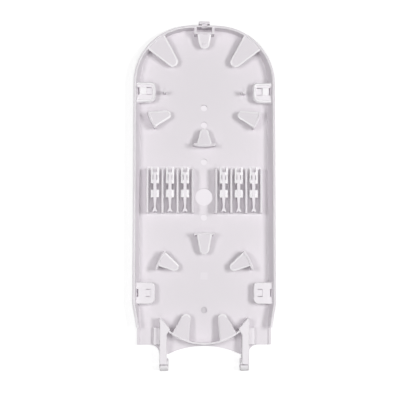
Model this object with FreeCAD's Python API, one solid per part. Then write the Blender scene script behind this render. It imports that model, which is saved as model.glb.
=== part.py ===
"""Fibre splice tray: one white moulding that stores and holds spliced optical fibres.

Millimetres. The origin is on the axis of the centre hole, in the plane of the underside.
+X runs across the tray, +Y towards its arched end and +Z out of its open side.
"""
import FreeCAD, Part
import math
import os

Vector = FreeCAD.Vector
UP = Vector(0, 0, 1)
ACROSS = Vector(1, 0, 0)
TOUCH = 1e-3                # two points nearer than this are one

# Tray shell
rim_width = 100.0           # across the side walls, where they are widest
arch_reach = 121.4          # centre hole to the outer face of the arched end
corner_radius = 41.5        # outer corners of the arched end
floor_thickness = 1.6
wall_height = 10.0          # underside to rim
wall_thickness = 1.8
side_lean = 3.2             # how far each side wall leans out from underside to rim
arch_lean = 0.4             # the same for the wall of the arched end
rim_break = 0.45            # edges of the rim are bevelled by this
floor_cove = 0.3            # bevel in the inside corner between floor and wall

# Hinge end of the shell
taper_start = 75.0          # centre hole to where the side walls begin to close in
wall_end = 91.6             # centre hole to where the side walls stop
throat_inset = 2.8          # how far each side wall has closed in there
throat_lean = 0.5           # what is left of the side lean there
port_end = 103.5            # centre hole to the outer edge of the entry ports
port_step = 0.8             # rise from the floor to an entry port
lip_height = 3.4            # low side wall beside an entry port

# Tongues that keep the fibre down, with a wide shallow bevel round their upper face
tongue_thickness = 1.2
tongue_root_drop = 0.6      # rim to the top of a tongue at its root
tongue_tip_drop = 2.9       # the same at its tip
tongue_bevel_width = 1.1
tongue_bevel_depth = 0.35
cut_margin = 1.0            # how far a cutter runs past the face it opens

# Shoulder tongues, on the corners of the arched end
shoulder_angle = 49.0       # from +X, about the centre of the corner
shoulder_spread = 22.6      # width of the root, as an angle about the same centre
shoulder_reach = 19.5       # wall to the centre of the rounded tip
shoulder_tip_radius = 3.8

# Latch pocket and crown tongue, in the middle of the arched end
pocket_width = 10.7         # clear width of the pocket
pocket_depth = 5.0          # arched wall's outer face to the pocket's inner wall
pocket_wall = 1.3           # between the pocket and the crown tongue
pocket_side_wall = 1.8
pocket_outer_wall = 1.4     # what is left of the arched wall behind the pocket
crown_root_width = 10.0
crown_reach = 6.5           # inner wall of the pocket to the centre of the rounded tip
crown_tip_radius = 3.7
crown_boss_diameter = 2.0
crown_boss_height = 1.0     # above the level of the tongue's tip

# Latch finger outside the pocket
latch_width = 7.8
latch_reach = 3.3           # arched wall's outer face to the end of the latch
latch_base_height = 3.0
latch_height = 8.6
latch_cap_length = 2.0
latch_neck_width = 3.8
latch_neck_height = 7.0     # the neck runs through a notch in the arched wall at this height
latch_break = 0.4

# Guides that stand on the floor: a bent wall with a tongue just below its top
guide_drop = 0.3            # rim to the top of a guide's wall
guide_wall_thickness = 1.7
guide_bend_radius = 34.0
guide_wall_break = 0.35
upper_guide_place = (37.4, 53.6)
upper_guide_heading = 155.0
upper_guide_wall_length = 12.3
upper_guide_root_trim = 0.5     # how far its tongue stops short of its wall's end towards the hinge
upper_guide_tip_heading = 159.5
upper_guide_reach = 11.8
upper_guide_tip_radius = 3.0
lower_guide_place = (31.2, -44.9)
lower_guide_heading = 206.5
lower_guide_wall_length = 14.2
lower_guide_root_trim = 3.1
lower_guide_tip_heading = 203.3
lower_guide_reach = 11.7
lower_guide_tip_radius = 2.9
middle_upper_place = (0.0, 35.6)
middle_upper_heading = 90.0
middle_upper_wall_length = 15.6
middle_upper_root_width = 11.2
middle_upper_reach = 9.5
middle_upper_tip_radius = 3.0
middle_lower_place = (0.0, -26.0)
middle_lower_heading = 270.0
middle_lower_wall_length = 14.4
middle_lower_root_width = 10.8
middle_lower_reach = 11.5
middle_lower_tip_radius = 3.4

# Holes and marks in the floor, on the centre line
centre_hole_diameter = 12.2
screw_hole_diameter = 4.5
screw_hole_places = (63.5, 51.3, 24.9, -14.5)
square_mark_place = -55.7
square_mark_side = 5.0
square_mark_height = 0.2
gate_recess_place = -79.5
gate_recess_diameter = 4.4
gate_recess_depth = 1.1
gate_stub_diameter = 2.2
gate_stub_height = 0.5

# Splice holder ribs and snap posts
ribs_per_side = 4
rib_offset = 8.3            # centre line to the first rib
rib_pitch = 10.54
rib_width = 1.5
rib_height = 7.6            # above the floor
rib_break = 0.3
holder_north = 19.5         # centre hole to the ribs' end nearest the arch
holder_south = 11.8         # centre hole to their other end
head_width = 5.7            # over the snap edges of a post
head_top_width = 2.3        # over the ridge lines of a post
head_rise = 0.4             # posts stand this much above the ribs
head_lead_in = 0.6          # height of the sloping lead-in
head_undercut = 3.6         # height of the slope under a snap edge
spine_width = 2.2
fork_north = 20.3
fork_south = 8.9
fork_gap_south = 16.8       # open end of the fork, between its two prongs
fork_gap_width = 2.9
fork_slit_width = 0.5       # slits that free the two prongs from the spine
fork_slit_north = 15.0
fork_slit_south = 11.4
block_north = 4.4
block_south = -1.0
waist_place = -6.6          # where the spine has become narrow
waist_width = 1.3
tail_north = -8.2
tail_south = -11.1
tail_width = 3.6
tail_notch = 0.8

# Brackets that reach in from the side walls, with room for fibre below them
bracket_drop = 2.5          # rim to the top of a bracket
bracket_plate = 1.3
bracket_break = 0.5
bracket_north_radius = 3.0
bracket_reach = 15.6        # rim's outer edge to a bracket's inner end
upper_bracket_north = 80.9
upper_bracket_length = 14.6
upper_south_radius = 4.8
lower_bracket_north = -60.2
lower_bracket_length = 15.0
lower_south_radius = 3.6
band_width = 2.2            # raised band round the edge of an upper bracket
band_height = 0.7
slot_length = 5.4           # along the side wall
upper_slot_setback = 3.7    # bracket's end nearest the arch to its slots
lower_slot_setback = 4.6
slot_margin = 0.3           # how far a slot's cutter runs below the bracket
wall_slot_width = 1.6       # slot beside the wall
inner_slot_inset = 9.3      # rim's outer edge to the inner recess
inner_slot_width = 3.4
inner_recess_depth = 0.6
end_notch = 0.45            # length of the through notches at the ends of the inner recess
pad_height = 0.6            # pad between the two slots of an upper bracket
pad_gap = 0.35              # pad to slot

# Pins beside the upper brackets
pin_place = (27.9, 73.8)
pin_drop = 0.6              # rim to the top of a pin
pin_diameter = 2.4
pin_break = 0.4

# Curved wall at the hinge end, and its two tongues
end_wall_radius = 39.7
end_wall_reach = 103.4      # centre hole to the wall's outer face on the centre line
end_wall_thickness = 1.3
end_wall_drop = 0.8         # rim to the top of this wall
end_wall_break = 0.35
end_tongue_angle = 64.4     # below +X, about the centre of the curved wall
end_tongue_spread = 19.2
end_tongue_heading = 107.0
end_tongue_reach = 13.9
end_tongue_tip_radius = 3.2

# Hinge arms, their fins and barrels, and the web between them
arm_inner = 26.1            # centre line to an arm's inner face
arm_width = 5.0
arm_drop = 0.6              # rim to the top of an arm
arm_break = 0.4
fin_length = 6.7            # end of the side wall to the point of a fin
fin_point_width = 0.9
fin_foot_overhang = 2.3     # how far a fin's foot stands inside its arm
arm_fillet = 6.6            # between an arm and the edge of the entry port
ledge_width = 4.1           # step beside an arm in the entry port
ledge_height = 5.4          # underside to the top of the step
ledge_break = 0.4
web_margin = 1.0            # curved wall to the crown of the web's arched edge
web_arch_radius = 57.6
barrel_reach = 13.6         # edge of the entry ports to the hinge axis
barrel_overhang = 1.3       # how far a barrel stands inside its arm
barrel_radius = 4.4
barrel_bore_diameter = 3.2
barrel_slit_width = 0.8
barrel_break = 0.5

# Worked out from the sizes above
half_width = rim_width / 2
tongue_root = wall_height - tongue_root_drop
tongue_tip = wall_height - tongue_tip_drop
guide_top = wall_height - guide_drop
pin_top = wall_height - pin_drop
bracket_top = wall_height - bracket_drop
bracket_bottom = bracket_top - bracket_plate
rib_top = floor_thickness + rib_height
head_top = rib_top + head_rise
end_wall_top = wall_height - end_wall_drop
corner_centre = Vector(half_width - corner_radius, arch_reach - corner_radius, 0)
pocket_inner = arch_reach - pocket_depth
end_centre = Vector(0, end_wall_radius - end_wall_reach, 0)
fin_point = fin_length - wall_end
arm_outer = arm_inner + arm_width
barrel_inner = arm_inner - barrel_overhang
barrel_place = -port_end - barrel_reach


def line(start, end):
    """Straight edge between two points."""
    return Part.LineSegment(start, end).toShape()


def arc(start, middle, end):
    """Circular edge through three points."""
    return Part.Arc(start, middle, end).toShape()


def polar(centre, radius, degrees):
    """Point at a distance and bearing from a centre, bearings counted from +X."""
    turn = math.radians(degrees)
    return centre + Vector(radius * math.cos(turn), radius * math.sin(turn), 0)


def both_sides(shape):
    """A shape and its mirror image on the other side of the centre line."""
    return [shape, shape.mirror(Vector(0, 0, 0), ACROSS)]


def block(x0, x1, y0, y1, z0, z1):
    """Box between two corners."""
    return Part.makeBox(x1 - x0, y1 - y0, z1 - z0, Vector(x0, y0, z0))


def cylinder(x, y, z0, z1, diameter):
    """Upright cylinder."""
    return Part.makeCylinder(diameter / 2, z1 - z0, Vector(x, y, z0), UP)


def prism(edges, z0, z1):
    """Upright solid over a closed outline drawn at height zero."""
    face = Part.Face(Part.Wire(edges))
    face.translate(UP * z0)
    return face.extrude(UP * (z1 - z0))


def closed_edges(corners):
    """Straight edges through the corners and back to the first."""
    return [line(a, b) for a, b in zip(corners, corners[1:] + corners[:1])]


def polygon(points, z0, z1):
    """Upright solid over straight edges through points given as x, y."""
    return prism(closed_edges([Vector(x, y, 0) for x, y in points]), z0, z1)


def bevelled(solid, z, size, keep=lambda edge: True):
    """The solid with its edges at one height bevelled, where they pass a test."""
    level = [edge for edge in solid.Edges
             if abs(edge.BoundBox.ZMin - z) < TOUCH and abs(edge.BoundBox.ZMax - z) < TOUCH]
    return solid.makeChamfer(size, [edge for edge in level if keep(edge)])


def lean_drop(height):
    """Share of a wall's lean that is still to come at a height."""
    return 1 - height / (wall_height - rim_break)


def side_face(height):
    """Distance of a side wall's inner face from the centre line at a height."""
    return half_width - side_lean * lean_drop(height) - wall_thickness


def shell_outline(height, inset, run_out):
    """Plan outline of the leaning walls at one height, inset from their outer face."""
    drop = lean_drop(height)
    side = half_width - side_lean * drop - inset
    throat = half_width - throat_inset - throat_lean * drop - inset
    radius = corner_radius - side_lean * drop - inset
    apex = arch_reach - arch_lean * drop - inset
    end = -port_end - run_out
    diagonal = radius * math.sqrt(0.5)
    centre_x = side - radius
    centre_y = apex - radius

    def edges_of_side(sign):
        """Edges of one side, from the hinge end to the crown of the arch."""
        foot = Vector(sign * throat, end, height)
        stop = Vector(sign * throat, -wall_end, height)
        bend = Vector(sign * side, -taper_start, height)
        spring = Vector(sign * side, centre_y, height)
        middle = Vector(sign * (centre_x + diagonal), centre_y + diagonal, height)
        crown = Vector(sign * centre_x, apex, height)
        return [line(foot, stop), line(stop, bend), line(bend, spring), arc(spring, middle, crown)]

    crown_line = line(Vector(centre_x, apex, height), Vector(-centre_x, apex, height))
    foot_line = line(Vector(-throat, end, height), Vector(throat, end, height))
    edges = edges_of_side(1) + [crown_line] + edges_of_side(-1) + [foot_line]
    return Part.Wire(Part.__sortEdges__(edges))


def shell():
    """Floor with leaning side walls, the arched wall and the low lips of the entry ports."""
    bevel_foot = wall_height - rim_break
    outside = Part.makeLoft([
        shell_outline(0, 0, 0),
        shell_outline(bevel_foot, 0, 0),
        shell_outline(wall_height, rim_break, 0),
    ], True, True)
    inside = Part.makeLoft([
        shell_outline(floor_thickness, wall_thickness + floor_cove, cut_margin),
        shell_outline(floor_thickness + floor_cove, wall_thickness, cut_margin),
        shell_outline(bevel_foot, wall_thickness, cut_margin),
        shell_outline(wall_height + cut_margin, wall_thickness - rim_break - cut_margin, cut_margin),
    ], True, True)
    over_ports = block(-rim_width, rim_width, -port_end - cut_margin, -wall_end,
                       lip_height, wall_height + cut_margin)
    return outside.cut([inside, over_ports])


def tangent_from(point, centre, radius, other):
    """Where the line from a point touches a circle, on the side away from another point."""
    span = centre - point
    across = other - point
    side = 1 if span.x * across.y < span.y * across.x else -1
    bearing = math.atan2(span.y, span.x) + side * math.asin(radius / span.Length)
    reach = math.sqrt(span.Length ** 2 - radius ** 2)
    return point + Vector(reach * math.cos(bearing), reach * math.sin(bearing), 0)


def tongue_outline(root_a, root_b, tip, radius):
    """Plan of a tongue: straight flanks from two root points to a rounded tip."""
    touch_a = tangent_from(root_a, tip, radius, root_b)
    touch_b = tangent_from(root_b, tip, radius, root_a)
    outward = tip - (root_a + root_b) / 2
    nose = tip + outward * (radius / outward.Length)
    return [line(root_a, touch_a), arc(touch_a, nose, touch_b), line(touch_b, root_b), line(root_b, root_a)]


def inset_root(root, other, tip, radius):
    """Where the bevel of a flank ends on the root line of a tongue's upper face."""
    along = (other - root).normalize()
    flank = (tangent_from(root, tip, radius, other) - root).normalize()
    return root + along * (tongue_bevel_width / along.cross(flank).Length)


def tongue(root_a, root_b, tip, radius, top=tongue_root):
    """Tongue that falls from its root to its tip, bevelled along both flanks and round the tip."""
    lower = tongue_outline(root_a, root_b, tip, radius)
    upper = tongue_outline(
        inset_root(root_a, root_b, tip, radius), inset_root(root_b, root_a, tip, radius),
        tip, radius - tongue_bevel_width,
    )
    levels = [
        (lower, top - tongue_thickness),
        (lower, top - tongue_bevel_depth),
        (upper, top),
    ]
    wires = []
    for edges, height in levels:
        wire = Part.Wire(edges)
        wire.translate(UP * height)
        wires.append(wire)
    root_line = root_b - root_a
    outward = tip - (root_a + root_b) / 2
    fall = math.degrees(math.asin((top - tongue_tip) / (outward.Length + radius)))
    turn = -fall if root_line.cross(outward).z > 0 else fall
    return Part.makeLoft(wires, True, True).rotated(root_a + UP * top, root_line, turn)


def shoulder_tongue():
    """Tongue on one corner of the arched end."""
    root_radius = corner_radius - wall_thickness / 2
    half = shoulder_spread / 2
    roots = [polar(corner_centre, root_radius, shoulder_angle + turn) for turn in (-half, half)]
    tip = polar(corner_centre, root_radius - shoulder_reach, shoulder_angle)
    return tongue(roots[0], roots[1], tip, shoulder_tip_radius)


def crown_tongue():
    """Tongue in the middle of the arched end, with its small boss."""
    root_y = pocket_inner - pocket_wall / 2
    roots = [Vector(side * crown_root_width / 2, root_y, 0) for side in (-1, 1)]
    tip = Vector(0, pocket_inner - pocket_wall - crown_reach, 0)
    boss = cylinder(tip.x, tip.y, tongue_tip, tongue_tip + crown_boss_height, crown_boss_diameter)
    return tongue(roots[0], roots[1], tip, crown_tip_radius).fuse(boss)


def latch_pocket():
    """Block inside the arched end that the pocket for a latch is sunk in."""
    outside = pocket_width / 2 + pocket_side_wall
    return block(-outside, outside, pocket_inner - pocket_wall, arch_reach - wall_thickness, 0, wall_height)


def pocket_cutters():
    """The pocket itself, and the notch in the arched wall that the latch's neck runs through."""
    half = pocket_width / 2
    neck = latch_neck_width / 2
    top = wall_height + cut_margin
    return [
        block(-half, half, pocket_inner, arch_reach - pocket_outer_wall, floor_thickness, top),
        block(-neck, neck, pocket_inner + cut_margin, arch_reach + cut_margin, latch_neck_height, top),
    ]


def latch():
    """Finger outside the arched end: a low plate with a neck and a cap that hooks a neighbour."""
    root = arch_reach - wall_thickness / 2
    end = arch_reach + latch_reach
    half = latch_width / 2
    plate = block(-half, half, root, end, 0, latch_base_height)
    neck = block(-latch_neck_width / 2, latch_neck_width / 2, root, end, 0, latch_neck_height)
    cap = block(-half, half, end - latch_cap_length, end, 0, latch_height)
    return plate.fuse([neck, bevelled(cap, latch_height, latch_break)])


def guide(place, heading, wall_length, root, tip, tip_radius):
    """Bent wall on the floor with a tongue near its top, rooted between two lengths along the wall."""
    bend = polar(Vector(place[0], place[1], 0), guide_bend_radius, heading)

    def on_wall(offset, length):
        """Point off the middle of the wall's thickness, at a length along it from its middle."""
        turn = math.degrees(length / guide_bend_radius)
        return polar(bend, guide_bend_radius + offset, heading + 180 + turn)

    half = wall_length / 2
    thick = guide_wall_thickness / 2
    outer = [on_wall(thick, length) for length in (-half, 0, half)]
    inner = [on_wall(-thick, length) for length in (half, 0, -half)]
    plan = [arc(*outer), line(outer[2], inner[0]), arc(*inner), line(inner[2], outer[0])]
    wall = bevelled(prism(plan, 0, guide_top), guide_top, guide_wall_break)
    return wall.fuse(tongue(on_wall(0, root[0]), on_wall(0, root[1]), tip, tip_radius))


def upper_guide():
    """Guide beside the coil of fibre at the arched end."""
    half = upper_guide_wall_length / 2
    tip = polar(Vector(*upper_guide_place, 0), upper_guide_reach, upper_guide_tip_heading)
    return guide(upper_guide_place, upper_guide_heading, upper_guide_wall_length,
                 (upper_guide_root_trim - half, half), tip, upper_guide_tip_radius)


def lower_guide():
    """Guide beside the coil of fibre at the hinge end."""
    half = lower_guide_wall_length / 2
    tip = polar(Vector(*lower_guide_place, 0), lower_guide_reach, lower_guide_tip_heading)
    return guide(lower_guide_place, lower_guide_heading, lower_guide_wall_length,
                 (lower_guide_root_trim - half, half), tip, lower_guide_tip_radius)


def middle_guide(place, heading, wall_length, root_width, reach, tip_radius):
    """Guide on the centre line, with its tongue in the middle of its wall."""
    tip = polar(Vector(*place, 0), reach, heading)
    return guide(place, heading, wall_length, (-root_width / 2, root_width / 2), tip, tip_radius)


def middle_guides():
    """The two guides on the centre line."""
    upper = middle_guide(middle_upper_place, middle_upper_heading, middle_upper_wall_length,
                         middle_upper_root_width, middle_upper_reach, middle_upper_tip_radius)
    lower = middle_guide(middle_lower_place, middle_lower_heading, middle_lower_wall_length,
                         middle_lower_root_width, middle_lower_reach, middle_lower_tip_radius)
    return [upper, lower]


def end_wall():
    """Curved wall between the hinge arms."""
    ring = Part.makeCylinder(end_wall_radius, end_wall_top, end_centre, UP)
    hollow = Part.makeCylinder(end_wall_radius - end_wall_thickness, end_wall_top, end_centre, UP)
    middle = arm_inner + arm_width / 2
    between_arms = block(-middle, middle, -end_wall_reach - cut_margin, fin_point, 0, end_wall_top)
    return bevelled(ring.cut(hollow).common(between_arms), end_wall_top, end_wall_break)


def end_tongue():
    """Tongue on the curved wall."""
    root_radius = end_wall_radius - end_wall_thickness / 2
    half = end_tongue_spread / 2
    roots = [polar(end_centre, root_radius, turn - end_tongue_angle) for turn in (-half, half)]
    tip = polar((roots[0] + roots[1]) / 2, end_tongue_reach, end_tongue_heading)
    return tongue(roots[0], roots[1], tip, end_tongue_tip_radius, end_wall_top)


def hinge_arm():
    """Arm at the hinge end that runs out into a pointed fin, with a low step beside it."""
    top = wall_height - arm_drop
    beam = polygon([
        (arm_outer, barrel_place),
        (arm_outer, fin_point),
        (arm_outer - fin_point_width, fin_point),
        (arm_inner - fin_foot_overhang, -wall_end - fin_point_width),
        (arm_inner, -wall_end - arm_width),
        (arm_inner, barrel_place),
    ], 0, top)
    ledge = block(arm_inner, arm_outer + ledge_width, -port_end, -wall_end, 0, ledge_height)
    return bevelled(beam, top, arm_break).fuse(bevelled(ledge, ledge_height, ledge_break))


def hinge_barrel():
    """Barrel at the end of an arm, which clips over a hinge rod."""
    start = Vector(barrel_inner, barrel_place, barrel_radius)
    barrel = Part.makeCylinder(barrel_radius, arm_outer - barrel_inner, start, ACROSS)
    return barrel.makeChamfer(barrel_break, [edge for edge in barrel.Edges if edge.isClosed()])


def barrel_cutter():
    """Bore of a barrel and the slit that opens it upwards."""
    start = barrel_inner - cut_margin
    end = arm_outer + cut_margin
    half = barrel_slit_width / 2
    bore = Part.makeCylinder(barrel_bore_diameter / 2, end - start,
                             Vector(start, barrel_place, barrel_radius), ACROSS)
    slit = block(start, end, barrel_place - half, barrel_place + half,
                 barrel_radius, wall_height + barrel_radius)
    return bore.fuse(slit)


def hinge_web():
    """Floor beyond the entry ports, with a fillet between each arm and its port."""
    fillet_x = arm_outer + arm_fillet
    fillet_y = -port_end - arm_fillet
    web = block(-fillet_x, fillet_x, fillet_y, -port_end, 0, floor_thickness)
    corner = cylinder(fillet_x, fillet_y, 0, floor_thickness, 2 * arm_fillet)
    return web.cut(both_sides(corner))


def web_arch_cutter():
    """Arched edge of the web between the arms."""
    top = floor_thickness + cut_margin
    crown = -end_wall_reach - web_margin
    round_edge = cylinder(0, crown - web_arch_radius, -cut_margin, top, 2 * web_arch_radius)
    return round_edge.common(block(-arm_inner, arm_inner, barrel_place, crown, -cut_margin, top))


def entry_port():
    """Raised floor of one entry port."""
    edge = half_width - throat_inset - wall_thickness
    return block(arm_outer, edge, -port_end, -wall_end, 0, floor_thickness + port_step)


def bracket_outline(north, length, south_radius, inset):
    """Plan of a bracket: from its root in the side wall to an inner end with two round corners."""
    root = side_face(bracket_bottom) + wall_thickness / 2
    inner = half_width - bracket_reach + inset
    top = north - inset
    bottom = north - length + inset
    top_radius = max(bracket_north_radius - inset, bracket_break)
    bottom_radius = max(south_radius - inset, bracket_break)
    top_centre = Vector(inner + top_radius, top - top_radius, 0)
    bottom_centre = Vector(inner + bottom_radius, bottom + bottom_radius, 0)
    top_arc = [polar(top_centre, top_radius, turn) for turn in (90, 135, 180)]
    bottom_arc = [polar(bottom_centre, bottom_radius, turn) for turn in (180, 225, 270)]
    wall_top = Vector(root, top, 0)
    wall_bottom = Vector(root, bottom, 0)
    return [
        line(wall_top, top_arc[0]), arc(*top_arc), line(top_arc[2], bottom_arc[0]),
        arc(*bottom_arc), line(bottom_arc[2], wall_bottom), line(wall_bottom, wall_top),
    ]


def off_side_wall(edge):
    """True for an edge of a bracket that isn't the one sunk in the side wall."""
    return edge.CenterOfMass.x < side_face(bracket_top)


def bracket(north, length, south_radius):
    """Plate that reaches in from the side wall, rooted in the middle of its thickness."""
    plate = prism(bracket_outline(north, length, south_radius, 0), bracket_bottom, bracket_top)
    return bevelled(plate, bracket_top, bracket_break, off_side_wall)


def wall_slot():
    """Both edges of the slot beside the wall, which opens against the wall's inner face."""
    outer = side_face(bracket_top)
    return outer - wall_slot_width, outer


def bracket_cutters(north, setback):
    """Slot beside the wall and shallow inner recess of a bracket, with a notch at each end."""
    top = north - setback
    bottom = top - slot_length
    below = bracket_bottom - slot_margin
    above = bracket_top + cut_margin
    slot_start, slot_end = wall_slot()
    recess_edge = half_width - inner_slot_inset
    recess_start = recess_edge - inner_slot_width
    return [
        block(slot_start, slot_end, bottom, top, below, above),
        block(recess_start, recess_edge, bottom, top, bracket_top - inner_recess_depth, above),
        block(recess_start, recess_edge, top - end_notch, top, below, above),
        block(recess_start, recess_edge, bottom, bottom + end_notch, below, above),
    ]


def upper_bracket():
    """Bracket near the arched end, with a raised band round its edge and a pad between its slots."""
    plan = (upper_bracket_north, upper_bracket_length, upper_south_radius)
    middle = bracket_top - bracket_plate / 2
    top = bracket_top + band_height
    band = prism(bracket_outline(*plan, bracket_break), middle, top)
    hollow = prism(bracket_outline(*plan, band_width), middle, top)
    pad_top = bracket_top + pad_height
    slot_top = upper_bracket_north - upper_slot_setback
    pad = block(
        half_width - inner_slot_inset + pad_gap,
        wall_slot()[0] - pad_gap,
        slot_top - slot_length, slot_top, middle, pad_top,
    )
    raised = bevelled(band.cut(hollow), top, bracket_break, off_side_wall)
    return bracket(*plan).fuse([raised, bevelled(pad, pad_top, pad_gap)])


def lower_bracket():
    """Plain bracket near the hinge end."""
    return bracket(lower_bracket_north, lower_bracket_length, lower_south_radius)


def pin():
    """Upright pin that a coil of fibre turns round."""
    return bevelled(cylinder(*pin_place, 0, pin_top, pin_diameter), pin_top, pin_break)


def rib(x):
    """One rib of a splice holder."""
    wall = block(x - rib_width / 2, x + rib_width / 2, -holder_south, holder_north, 0, rib_top)
    return bevelled(wall, rib_top, rib_break)


def snap_head(x, south, north):
    """Arrow-shaped head of a post: lead-in slopes above, undercut slopes below the snap edges."""
    snap_z = head_top - head_lead_in
    right = [
        (head_top_width / 2, head_top),
        (head_width / 2, snap_z),
        (spine_width / 2, snap_z - head_undercut),
    ]
    section = right + [(-across, height) for across, height in reversed(right)]
    corners = [Vector(x + across, south, height) for across, height in section]
    return Part.Face(Part.Wire(closed_edges(corners))).extrude(Vector(0, north - south, 0))


def spine(x):
    """Upright wall that carries a post's heads, waisted and forked towards the hinge end."""
    half = spine_width / 2
    waist = waist_width / 2
    tail = tail_width / 2
    right = [
        (half, fork_gap_south), (half, block_south), (waist, waist_place), (waist, tail_north),
        (tail, tail_south + tail_notch / 2), (tail - waist, tail_south),
    ]
    plan = right + [(0, tail_south + tail_notch)] + [(-across, y) for across, y in reversed(right)]
    return polygon([(x + across, y) for across, y in plan], 0, rib_top)


def snap_post(x):
    """Post between two ribs: a forked head and a block head that snap over splice sleeves."""
    top = head_top + cut_margin
    half_gap = fork_gap_width / 2
    cutters = [block(x - half_gap, x + half_gap, fork_gap_south, fork_north, floor_thickness, top)]
    for side in (-1, 1):
        middle = x + side * (spine_width + fork_slit_width) / 2
        cutters.append(block(middle - fork_slit_width / 2, middle + fork_slit_width / 2,
                             fork_slit_south, fork_slit_north, floor_thickness, top))
    fork = snap_head(x, fork_south, fork_north).cut(cutters)
    return fork.fuse([spine(x), snap_head(x, block_south, block_north)])


def splice_holder():
    """Ribs and posts on one side of the centre line."""
    rib_places = [rib_offset + count * rib_pitch for count in range(ribs_per_side)]
    post_places = [(a + b) / 2 for a, b in zip(rib_places, rib_places[1:])]
    return [rib(x) for x in rib_places] + [snap_post(x) for x in post_places]


def floor_cutters():
    """Holes through the floor on the centre line, and the blind recess round the moulding gate."""
    top = floor_thickness + cut_margin
    holes = [cylinder(0, 0, -cut_margin, top, centre_hole_diameter)]
    holes += [cylinder(0, y, -cut_margin, top, screw_hole_diameter) for y in screw_hole_places]
    bottom = floor_thickness - gate_recess_depth
    recess = cylinder(0, gate_recess_place, bottom, top, gate_recess_diameter)
    stub = cylinder(0, gate_recess_place, bottom, bottom + gate_stub_height, gate_stub_diameter)
    return holes + [recess.cut(stub)]


def square_mark():
    """Low square pad on the floor."""
    half = square_mark_side / 2
    return block(-half, half, square_mark_place - half, square_mark_place + half, 0,
                 floor_thickness + square_mark_height)


def tray():
    """The whole moulding."""
    added = [latch_pocket(), latch(), crown_tongue(), end_wall(), hinge_web(), square_mark()]
    added += middle_guides()
    paired = [shoulder_tongue(), end_tongue(), upper_guide(), lower_guide()] + splice_holder()
    paired += [hinge_arm(), hinge_barrel(), entry_port(), upper_bracket(), lower_bracket(), pin()]
    for solid in paired:
        added += both_sides(solid)
    cutters = floor_cutters() + pocket_cutters() + [web_arch_cutter()]
    paired_cutters = [barrel_cutter()]
    paired_cutters += bracket_cutters(upper_bracket_north, upper_slot_setback)
    paired_cutters += bracket_cutters(lower_bracket_north, lower_slot_setback)
    for cutter in paired_cutters:
        cutters += both_sides(cutter)
    return shell().fuse(added).cut(cutters).removeSplitter()


os.makedirs("parts", exist_ok=True)
tray().exportStep("parts/splice_tray.step")
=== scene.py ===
"""Studio picture of a white moulded fibre splice tray, dressed around its solid model.

The tray lies on a white table with its arched end away from the viewer. Metres throughout, in the
solid model's own frame: +X across the tray, +Y towards the arched end, +Z out of its open side.
"""

import logging
import math
from dataclasses import dataclass
from enum import Enum

import bpy
from mathutils import Matrix, Vector


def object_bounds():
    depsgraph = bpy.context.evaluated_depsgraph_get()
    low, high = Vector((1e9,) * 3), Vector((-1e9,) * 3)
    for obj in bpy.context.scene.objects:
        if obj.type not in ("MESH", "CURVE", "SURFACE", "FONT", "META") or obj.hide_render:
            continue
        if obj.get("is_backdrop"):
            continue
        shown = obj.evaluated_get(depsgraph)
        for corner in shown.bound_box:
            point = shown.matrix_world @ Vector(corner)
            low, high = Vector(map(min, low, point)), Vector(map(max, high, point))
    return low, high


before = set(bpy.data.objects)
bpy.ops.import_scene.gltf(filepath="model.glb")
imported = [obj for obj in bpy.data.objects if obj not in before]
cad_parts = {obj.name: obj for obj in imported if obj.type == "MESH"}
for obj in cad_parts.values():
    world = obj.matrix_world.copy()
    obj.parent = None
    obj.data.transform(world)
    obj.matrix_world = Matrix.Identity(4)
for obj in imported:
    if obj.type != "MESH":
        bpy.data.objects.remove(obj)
log = logging.getLogger("splice_tray_scene")

MM = 0.001
Colour = tuple[float, float, float]
Point = tuple[float, float, float]


class Bearing(Enum):
    """Where lamps hang about the tray, in degrees from +X towards +Y."""

    RIGHT = 3.0
    ARCH = 90.0
    LEFT = 177.0
    HINGE = 270.0


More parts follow.
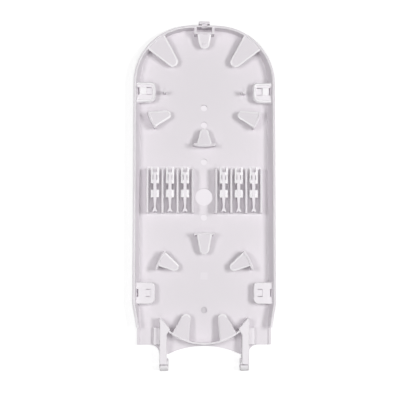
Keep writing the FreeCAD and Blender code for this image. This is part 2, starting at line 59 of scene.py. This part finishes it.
class Graph:
    """Adds nodes to one node tree and joins them."""

    def __init__(self, tree: bpy.types.NodeTree) -> None:
        """Keep the tree and start it empty.

        Args:
            tree: Node tree of a material, world or group.
        """
        self.tree = tree
        tree.nodes.clear()

    def add(self, kind: str, **settings: object) -> bpy.types.Node:
        """Add one node.

        Args:
            kind: Blender's identifier of the node type.
            **settings: Properties of the node, by name.

        Returns:
            The new node.
        """
        node = self.tree.nodes.new(kind)
        for name, value in settings.items():
            setattr(node, name, value)
        return node

    def join(self, source: bpy.types.NodeSocket, target: bpy.types.NodeSocket) -> None:
        """Link an output socket to an input socket."""
        self.tree.links.new(source, target)

    def math(self, operation: str, first: object, second: object = 0) -> bpy.types.NodeSocket:
        """Add a Math node.

        Args:
            operation: Blender's name of the operation.
            first: Number or output socket.
            second: Number or output socket, where the operation takes two.

        Returns:
            The node's output socket.
        """
        node = self.add("ShaderNodeMath", operation=operation)
        for socket, value in zip(node.inputs, (first, second)):
            if isinstance(value, bpy.types.NodeSocket):
                self.join(value, socket)
            else:
                socket.default_value = value
        return node.outputs[0]

    def ramp(self, value: bpy.types.NodeSocket, low: float, high: float,
             from_value: float, to_value: float) -> bpy.types.NodeSocket:
        """Map a value smoothly from one range to another.

        Args:
            value: Output socket to map.
            low: Start of the range it is read in.
            high: End of that range.
            from_value: Result at the start.
            to_value: Result at the end.

        Returns:
            The mapped value's socket.
        """
        node = self.add("ShaderNodeMapRange", interpolation_type="SMOOTHSTEP")
        self.join(value, node.inputs["Value"])
        node.inputs["From Min"].default_value = low
        node.inputs["From Max"].default_value = high
        node.inputs["To Min"].default_value = from_value
        node.inputs["To Max"].default_value = to_value
        return node.outputs["Result"]

    def noise(self, place: bpy.types.NodeSocket, size: float, detail: float) -> bpy.types.NodeSocket:
        """Add a noise texture.

        Args:
            place: Coordinates that it is read at.
            size: Width of its spots in metres.
            detail: Number of finer layers.

        Returns:
            The noise's value, about 0.5 on average.
        """
        node = self.add("ShaderNodeTexNoise")
        self.join(place, node.inputs["Vector"])
        node.inputs["Scale"].default_value = 1 / size
        node.inputs["Detail"].default_value = detail
        return node.outputs["Fac"]

    def split(self, vector: bpy.types.NodeSocket) -> bpy.types.Node:
        """Split a vector.

        Args:
            vector: Output socket to split.

        Returns:
            The new node, whose outputs are X, Y and Z.
        """
        node = self.add("ShaderNodeSeparateXYZ")
        self.join(vector, node.inputs[0])
        return node

    def mix(self, share: bpy.types.NodeSocket, first: bpy.types.NodeSocket,
            second: float) -> bpy.types.NodeSocket:
        """Mix a value with a number.

        Args:
            share: Share of the number.
            first: Value where the share is 0.
            second: Number where the share is 1.

        Returns:
            The mixed value's socket.
        """
        node = self.add("ShaderNodeMix", data_type="FLOAT")
        self.join(share, node.inputs["Factor"])
        self.join(first, node.inputs["A"])
        node.inputs["B"].default_value = second
        return node.outputs["Result"]

    def blend(self, share: bpy.types.NodeSocket, first: Colour | bpy.types.NodeSocket,
              second: Colour) -> bpy.types.NodeSocket:
        """Mix two colours.

        Args:
            share: Share of the second colour.
            first: Colour, or a colour's socket, where the share is 0.
            second: Colour where the share is 1.

        Returns:
            The mixed colour's socket.
        """
        node = self.add("ShaderNodeMix", data_type="RGBA")
        self.join(share, node.inputs["Factor"])
        if isinstance(first, bpy.types.NodeSocket):
            self.join(first, node.inputs["A"])
        else:
            node.inputs["A"].default_value = (*first, 1)
        node.inputs["B"].default_value = (*second, 1)
        return node.outputs["Result"]

    def band(self, value: bpy.types.NodeSocket, middle: float, half: float) -> bpy.types.NodeSocket:
        """Mask of a range of values.

        Args:
            value: Output socket to test.
            middle: Middle of the range.
            half: Half its width.

        Returns:
            The mask's socket, 1 inside the range.
        """
        offset = self.math("ABSOLUTE", self.math("SUBTRACT", value, middle))
        return self.math("LESS_THAN", offset, half)

    def near(self, place: bpy.types.NodeSocket, centre: Point, radius: float) -> bpy.types.NodeSocket:
        """Mask of a ball.

        Args:
            place: Coordinates that it is read at.
            centre: The ball's centre.
            radius: Its radius.

        Returns:
            The mask's socket, 1 inside the ball.
        """
        return self.math("LESS_THAN", self.distance(place, centre), radius)

    def distance(self, place: bpy.types.NodeSocket, centre: Point) -> bpy.types.NodeSocket:
        """Distance of a place from a point.

        Args:
            place: Coordinates that it is read at.
            centre: The point.

        Returns:
            The distance's socket, in metres.
        """
        node = self.add("ShaderNodeVectorMath", operation="DISTANCE")
        self.join(place, node.inputs[0])
        node.inputs[1].default_value = centre
        return node.outputs["Value"]

    def seen(self) -> bpy.types.NodeSocket:
        """Mask of the rays that show the backdrop.

        Returns:
            The mask's socket, 1 for the camera's own rays, reflections and rays through glass.
        """
        paths = self.add("ShaderNodeLightPath")
        mirrored = self.math("MAXIMUM", paths.outputs["Is Glossy Ray"], paths.outputs["Is Transmission Ray"])
        return self.math("MAXIMUM", paths.outputs["Is Camera Ray"], mirrored)


@dataclass(frozen=True)
class MouldedPlastic:
    """Pale plastic as it comes out of a mould: matt faces, smoother bevels and working parts, with a painted
    highlight on the bevels and bracket bands, a paler painted light on the raised working parts and the
    splice holders, and a painted shade in the recess at gate_place.
    """

    name: str = "tray_plastic"

    # Tints
    light: Colour = (0.79, 0.753, 0.788)
    shade: Colour = (0.77, 0.733, 0.769)
    # Painted highlight: a paler colour on the bevels, in place of the glints that lamps make on rounded rims.
    painted_edge_highlight: Colour = (0.89, 0.87, 0.89)
    # Painted highlight: a paler colour on the raised bands and pads of the upper brackets.
    painted_ridge_highlight: Colour = (0.94, 0.92, 0.94)
    # Painted light: a paler colour on the raised working parts and in the splice holders' shaded channels;
    # the square mark takes it at mark_share and is simply paler there.
    painted_light_tint: Colour = (0.835, 0.8, 0.835)
    # Painted shade: a darker colour in the recess at gate_place.
    painted_gate_shade: Colour = (0.66, 0.63, 0.66)

    # Surface
    mottle_size: float = 26 * MM
    mottle_detail: float = 3
    grain_size: float = 0.35 * MM
    grain_detail: float = 2
    grain_depth: float = 0.02 * MM
    grain_strength: float = 0.5
    matt_roughness: float = 0.72
    edge_roughness: float = 0.36
    polished_roughness: float = 0.42
    mark_share: float = 0.5

    # Upward part of the normal: a face is level above the first, a full bevel below the
    # second and a wall below the third
    level_slope: float = 0.985
    bevel_slope: float = 0.955
    wall_slope: float = 0.5

    # Where the parts lie, in the tray's own frame
    holder_middle: float = 4.25 * MM
    holder_half: float = 17.5 * MM
    holder_aside: float = 24.9 * MM
    holder_reach: float = 15.4 * MM
    bracket_aside: float = 40.5 * MM
    bracket_reach: float = 7.1 * MM
    upper_bracket_middle: float = 73.6 * MM
    lower_bracket_middle: float = -67.7 * MM
    bracket_half: float = 8.0 * MM
    arm_north: float = -84.5 * MM
    arm_inner: float = 23.0 * MM
    end_wall_centre: Point = (0, -63.7 * MM, 8.0 * MM)
    end_wall_inside: float = 38.2 * MM
    mark_middle: float = -55.7 * MM
    mark_half: float = 2.6 * MM
    mark_level: float = 1.7 * MM
    upper_level: float = 5.0 * MM
    ridge_level: float = 7.7 * MM
    gate_place: Point = (0, -79.5 * MM, 1.0 * MM)
    gate_radius: float = 2.3 * MM

    def polish_and_painted_light(self, graph: Graph, place: bpy.types.Node) -> bpy.types.NodeSocket:
        """Mask of the smoother finish and the painted light: the splice holders, the brackets, the hinge end
        and the square mark.

        Args:
            graph: Graph that the nodes go in.
            place: Node whose outputs are the three coordinates.

        Returns:
            The mask's socket, 1 on those parts and mark_share on the mark.
        """
        along = place.outputs["Y"]
        aside = graph.math("ABSOLUTE", place.outputs["X"])
        # The holders count at every height, so their shaded channel floors get the painted light too.
        holder = graph.math("MULTIPLY", graph.band(along, self.holder_middle, self.holder_half),
                            graph.band(aside, self.holder_aside, self.holder_reach))
        rows = graph.math("ADD", graph.band(along, self.upper_bracket_middle, self.bracket_half),
                          graph.band(along, self.lower_bracket_middle, self.bracket_half))
        bracket = graph.math("MULTIPLY", rows, graph.band(aside, self.bracket_aside, self.bracket_reach))
        hinge = graph.math("LESS_THAN", along, self.arm_north)
        raised = graph.math("GREATER_THAN", place.outputs["Z"], self.upper_level)
        upper = graph.math("MULTIPLY", graph.math("MAXIMUM", bracket, hinge), raised)
        square = graph.math("MULTIPLY", graph.band(along, self.mark_middle, self.mark_half),
                            graph.math("LESS_THAN", aside, self.mark_half))
        mark = graph.math("MULTIPLY", square, graph.math("GREATER_THAN", place.outputs["Z"], self.mark_level))
        faint = graph.math("MULTIPLY", mark, self.mark_share)
        return graph.math("MAXIMUM", graph.math("MAXIMUM", holder, upper), faint)

    def end_tongues(self, graph: Graph, where: bpy.types.NodeSocket,
                    place: bpy.types.Node) -> bpy.types.NodeSocket:
        """Mask of the plain tongues inside the curved wall of the hinge end.

        Args:
            graph: Graph that the nodes go in.
            where: Coordinates that it is read at.
            place: Node whose outputs are the three coordinates.

        Returns:
            The mask's socket, 1 on those tongues.
        """
        inside = graph.near(where, self.end_wall_centre, self.end_wall_inside)
        beyond = graph.math("LESS_THAN", place.outputs["Y"], self.arm_north)
        between = graph.band(place.outputs["X"], 0, self.arm_inner)
        return graph.math("MULTIPLY", inside, graph.math("MULTIPLY", beyond, between))

    def ridge_highlight_mask(self, graph: Graph, place: bpy.types.Node) -> bpy.types.NodeSocket:
        """Mask of the painted highlight on the raised bands and pads of the upper brackets.

        Args:
            graph: Graph that the nodes go in.
            place: Node whose outputs are the three coordinates.

        Returns:
            The mask's socket, 1 on those parts.
        """
        bracket = graph.band(place.outputs["Y"], self.upper_bracket_middle, self.bracket_half)
        aside = graph.math("ABSOLUTE", place.outputs["X"])
        beside = graph.band(aside, self.bracket_aside, self.bracket_reach)
        raised = graph.math("GREATER_THAN", place.outputs["Z"], self.ridge_level)
        return graph.math("MULTIPLY", raised, graph.math("MULTIPLY", bracket, beside))

    def edge_smoothness_and_highlight(self, graph: Graph, place: bpy.types.Node, slope: bpy.types.NodeSocket) -> bpy.types.NodeSocket:
        """Mask of the bevels on the upper parts of the tray, which are smoother and get a painted highlight.

        Args:
            graph: Graph that the nodes go in.
            place: Node whose outputs are the three coordinates.
            slope: Upward part of the normal.

        Returns:
            The mask's socket, 1 on faces that are neither level nor nearly upright.
        """
        tilted = graph.ramp(slope, self.bevel_slope, self.level_slope, 1, 0)
        upward = graph.math("GREATER_THAN", slope, self.wall_slope)
        upper = graph.math("GREATER_THAN", place.outputs["Z"], self.upper_level)
        return graph.math("MULTIPLY", tilted, graph.math("MULTIPLY", upward, upper))

    def material(self) -> bpy.types.Material:
        """Build the plastic.

        Colour drifts between two pale tints over spots as wide as mottle_size. Bevels and the bracket bands
        get a paler painted highlight, the raised working parts and the splice holders down to their channel
        floors a paler painted light, and the recess at gate_place a darker painted shade; the square mark is
        simply paler.
        Bevels and the working parts are smoother than the rest.
        A fine grain is a bump.

        Returns:
            The new material.
        """
        material = bpy.data.materials.new(self.name)
        material.use_nodes = True
        graph = Graph(material.node_tree)
        coordinates = graph.add("ShaderNodeTexCoord")
        where = coordinates.outputs["Object"]
        place = graph.split(where)
        slope = graph.split(coordinates.outputs["Normal"]).outputs["Z"]
        shader = graph.add("ShaderNodeBsdfPrincipled")
        output = graph.add("ShaderNodeOutputMaterial")
        mottle = graph.noise(where, self.mottle_size, self.mottle_detail)
        grain = graph.noise(where, self.grain_size, self.grain_detail)
        # The end tongues are left out of the painted highlight, the painted light and the smoother finish.
        dressed = graph.math("SUBTRACT", 1, self.end_tongues(graph, where, place))
        edge_smoothness_and_highlight = graph.math("MULTIPLY", self.edge_smoothness_and_highlight(graph, place, slope), dressed)
        polish_and_painted_light = graph.math("MULTIPLY", self.polish_and_painted_light(graph, place), dressed)
        level = graph.ramp(edge_smoothness_and_highlight, 0, 1, self.matt_roughness, self.edge_roughness)
        rough = graph.mix(polish_and_painted_light, level, self.polished_roughness)
        bump = graph.add("ShaderNodeBump")
        bump.inputs["Distance"].default_value = self.grain_depth
        bump.inputs["Strength"].default_value = self.grain_strength
        graph.join(grain, bump.inputs["Height"])
        colour = graph.blend(mottle, self.light, self.shade)
        # Painted light on the working parts and the splice holders.
        colour = graph.blend(polish_and_painted_light, colour, self.painted_light_tint)
        # Painted highlight on the bracket bands and pads.
        colour = graph.blend(self.ridge_highlight_mask(graph, place), colour, self.painted_ridge_highlight)
        # Painted highlight on the bevels.
        colour = graph.blend(edge_smoothness_and_highlight, colour, self.painted_edge_highlight)
        # Painted shade in the recess at gate_place.
        painted_gate_shade = graph.near(where, self.gate_place, self.gate_radius)
        graph.join(graph.blend(painted_gate_shade, colour, self.painted_gate_shade), shader.inputs["Base Color"])
        graph.join(rough, shader.inputs["Roughness"])
        graph.join(bump.outputs["Normal"], shader.inputs["Normal"])
        graph.join(shader.outputs[0], output.inputs["Surface"])
        return material


@dataclass(frozen=True)
class WhiteTable:
    """Table top that the camera sees as white, apart from the tray's soft shadow and a painted shadow below
    the tray.
    """

    name: str = "white_table"
    open_glow: Colour = (0.6, 0.6, 0.6)
    far_glow: Colour = (1, 1, 1)
    far_start: float = 0.3
    far_end: float = 1.6
    paint: Colour = (0.6, 0.6, 0.6)
    # Painted shadow below the tray: a fixed glow and a nearly black paint on the patch under its holes.
    painted_shadow_glow: Colour = (0.86, 0.82, 0.86)
    painted_shadow_paint: Colour = (0.02, 0.02, 0.02)
    covered_middle: float = 24.5 * MM
    covered_half_width: float = 15 * MM
    covered_half_length: float = 48 * MM

    def tray_shadow_patch(self, graph: Graph, where: bpy.types.NodeSocket) -> bpy.types.NodeSocket:
        """Mask of the part of the table that the tray covers, where the shadow under the tray is painted.

        Args:
            graph: Graph that the nodes go in.
            where: Coordinates that it is read at.

        Returns:
            The mask's socket, 1 below the tray's holes.
        """
        place = graph.split(where)
        beside = graph.band(place.outputs["X"], 0, self.covered_half_width)
        between = graph.band(place.outputs["Y"], self.covered_middle, self.covered_half_length)
        return graph.math("MULTIPLY", beside, between)

    def material(self) -> bpy.types.Material:
        """Build the table's finish: a matt pale paint, and a glow that only picture rays meet; below the tray
        the paint is nearly black and the glow a fixed pale grey, a painted shadow that the tray's holes show.

        Returns:
            The new material.
        """
        material = bpy.data.materials.new(self.name)
        material.use_nodes = True
        graph = Graph(material.node_tree)
        where = graph.add("ShaderNodeTexCoord").outputs["Object"]
        # Painted shadow on the patch under the tray.
        tray_shadow_patch = self.tray_shadow_patch(graph, where)
        paint = graph.add("ShaderNodeBsdfDiffuse")
        graph.join(graph.blend(tray_shadow_patch, self.paint, self.painted_shadow_paint), paint.inputs["Color"])
        glow = graph.add("ShaderNodeEmission")
        far = graph.ramp(graph.distance(where, (0, 0, 0)), self.far_start, self.far_end, 0, 1)
        colour = graph.blend(far, self.open_glow, self.far_glow)
        graph.join(graph.blend(tray_shadow_patch, colour, self.painted_shadow_glow), glow.inputs["Color"])
        graph.join(graph.seen(), glow.inputs["Strength"])
        both = graph.add("ShaderNodeAddShader")
        output = graph.add("ShaderNodeOutputMaterial")
        graph.join(paint.outputs[0], both.inputs[0])
        graph.join(glow.outputs[0], both.inputs[1])
        graph.join(both.outputs[0], output.inputs["Surface"])
        return material


@dataclass
class SpliceTray:
    """The moulded tray: the solid model's own mesh with the moulded finish, and its painted highlight,
    painted light and painted shade, on it.
    """

    node: str = "splice_tray"
    finish: MouldedPlastic = MouldedPlastic()

    def dress(self) -> bpy.types.Object:
        """Give the tray its finish.

        Returns:
            The tray's object.
        """
        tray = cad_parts[self.node]
        tray.data.materials.clear()
        tray.data.materials.append(self.finish.material())
        return tray


@dataclass(frozen=True)
class SoftBox:
    """Oblong lamp that looks at the middle of the tray, its width level."""

    name: str
    bearing: Bearing
    elevation: float
    width: float
    height: float
    power: float
    distance: float = 1.1

    def build(self) -> bpy.types.Object:
        """Hang the lamp at its bearing and elevation.

        Returns:
            The lamp's object.
        """
        lamp = bpy.data.lights.new(self.name, "AREA")
        lamp.energy = self.power
        lamp.shape = "RECTANGLE"
        lamp.size = self.width
        lamp.size_y = self.height
        thing = bpy.data.objects.new(self.name, lamp)
        rise = math.radians(self.elevation)
        turn = math.radians(self.bearing.value)
        away = Vector((math.cos(rise) * math.cos(turn), math.cos(rise) * math.sin(turn), math.sin(rise)))
        thing.location = away * self.distance
        thing.rotation_euler = away.to_track_quat("Z", "Y").to_euler()
        bpy.context.scene.collection.objects.link(thing)
        return thing


@dataclass
class Studio:
    """White table, soft boxes over it and round it, and a room that looks white and gives little light."""

    table_width: float = 6.0
    table_gap: float = 0.05 * MM
    room_light: float = 0.09
    lamps: tuple[SoftBox, ...] = (
        SoftBox("overhead", Bearing.ARCH, elevation=87.0, width=0.7, height=0.7, power=2.5, distance=1.25),
        SoftBox("right", Bearing.RIGHT, elevation=54.0, width=0.45, height=0.26, power=5.75),
        SoftBox("left", Bearing.LEFT, elevation=58.0, width=0.4, height=0.26, power=3.45),
        SoftBox("front", Bearing.HINGE, elevation=62.0, width=0.16, height=0.16, power=1.1),
    )

    def table(self) -> bpy.types.Object:
        """Lay the table just below the tray.

        Returns:
            The table's object.
        """
        low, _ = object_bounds()
        half = self.table_width / 2
        level = low[2] - self.table_gap
        mesh = bpy.data.meshes.new("table")
        outline = [(-half, -half, level), (half, -half, level), (half, half, level), (-half, half, level)]
        mesh.from_pydata(outline, [], [(0, 1, 2, 3)])
        mesh.materials.append(WhiteTable().material())
        table = bpy.data.objects.new("table", mesh)
        bpy.context.scene.collection.objects.link(table)
        table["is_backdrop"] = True
        return table

    def room(self) -> None:
        """Set the even light of the room, which looks white."""
        world = bpy.data.worlds.new("room")
        world.use_nodes = True
        graph = Graph(world.node_tree)
        background = graph.add("ShaderNodeBackground")
        strength = graph.ramp(graph.seen(), 0, 1, self.room_light, 1)
        graph.join(strength, background.inputs["Strength"])
        background.inputs["Color"].default_value = (1, 1, 1, 1)
        output = graph.add("ShaderNodeOutputWorld")
        graph.join(background.outputs[0], output.inputs["Surface"])
        bpy.context.scene.world = world

    def build(self) -> list[bpy.types.Object]:
        """Put up the table, the room and the lamps.

        Returns:
            The table and the lamps.
        """
        self.room()
        return [self.table()] + [lamp.build() for lamp in self.lamps]


@dataclass
class PhotoCamera:
    """Camera of the photograph: high above the tray, a little to the left and towards the hinge."""

    picture_width: float = 400.0
    focal_pixels: float = 1137.0
    centre_x: float = 204.19
    centre_y: float = 196.58
    distance: float = 0.8
    target_height: float = 5 * MM
    tilt_to_hinge: float = 5.0
    tilt_to_left: float = 2.3
    sensor: float = 36.0

    def build(self) -> bpy.types.Object:
        """Place the camera and set its lens and framing.

        Returns:
            The camera's object.
        """
        data = bpy.data.cameras.new("photo_camera")
        data.sensor_width = self.sensor
        data.lens = self.sensor * self.focal_pixels / self.picture_width
        data.shift_x = (self.picture_width / 2 - self.centre_x) / self.picture_width
        data.shift_y = (self.centre_y - self.picture_width / 2) / self.picture_width
        left = math.sin(math.radians(self.tilt_to_left))
        back = math.sin(math.radians(self.tilt_to_hinge))
        away = Vector((-left, -back, math.sqrt(1 - left ** 2 - back ** 2)))
        right = Vector((0, 1, 0)).cross(away).normalized()
        turn = Matrix((right, away.cross(right), away)).transposed()
        camera = bpy.data.objects.new("photo_camera", data)
        place = Vector((0, 0, self.target_height)) + away * self.distance
        camera.matrix_world = Matrix.Translation(place) @ turn.to_4x4()
        bpy.context.scene.collection.objects.link(camera)
        bpy.context.scene.camera = camera
        return camera


def main() -> None:
    """Build the picture piece by piece."""
    logging.basicConfig(level=logging.INFO, format="%(name)s: %(message)s")
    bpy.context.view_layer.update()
    bpy.context.scene.view_settings.view_transform = "Standard"
    tray = SpliceTray().dress()
    log.info("dressed %s", tray.name)
    for thing in Studio().build():
        log.info("placed %s", thing.name)
    log.info("placed %s", PhotoCamera().build().name)


if __name__ == "__main__":
    main()
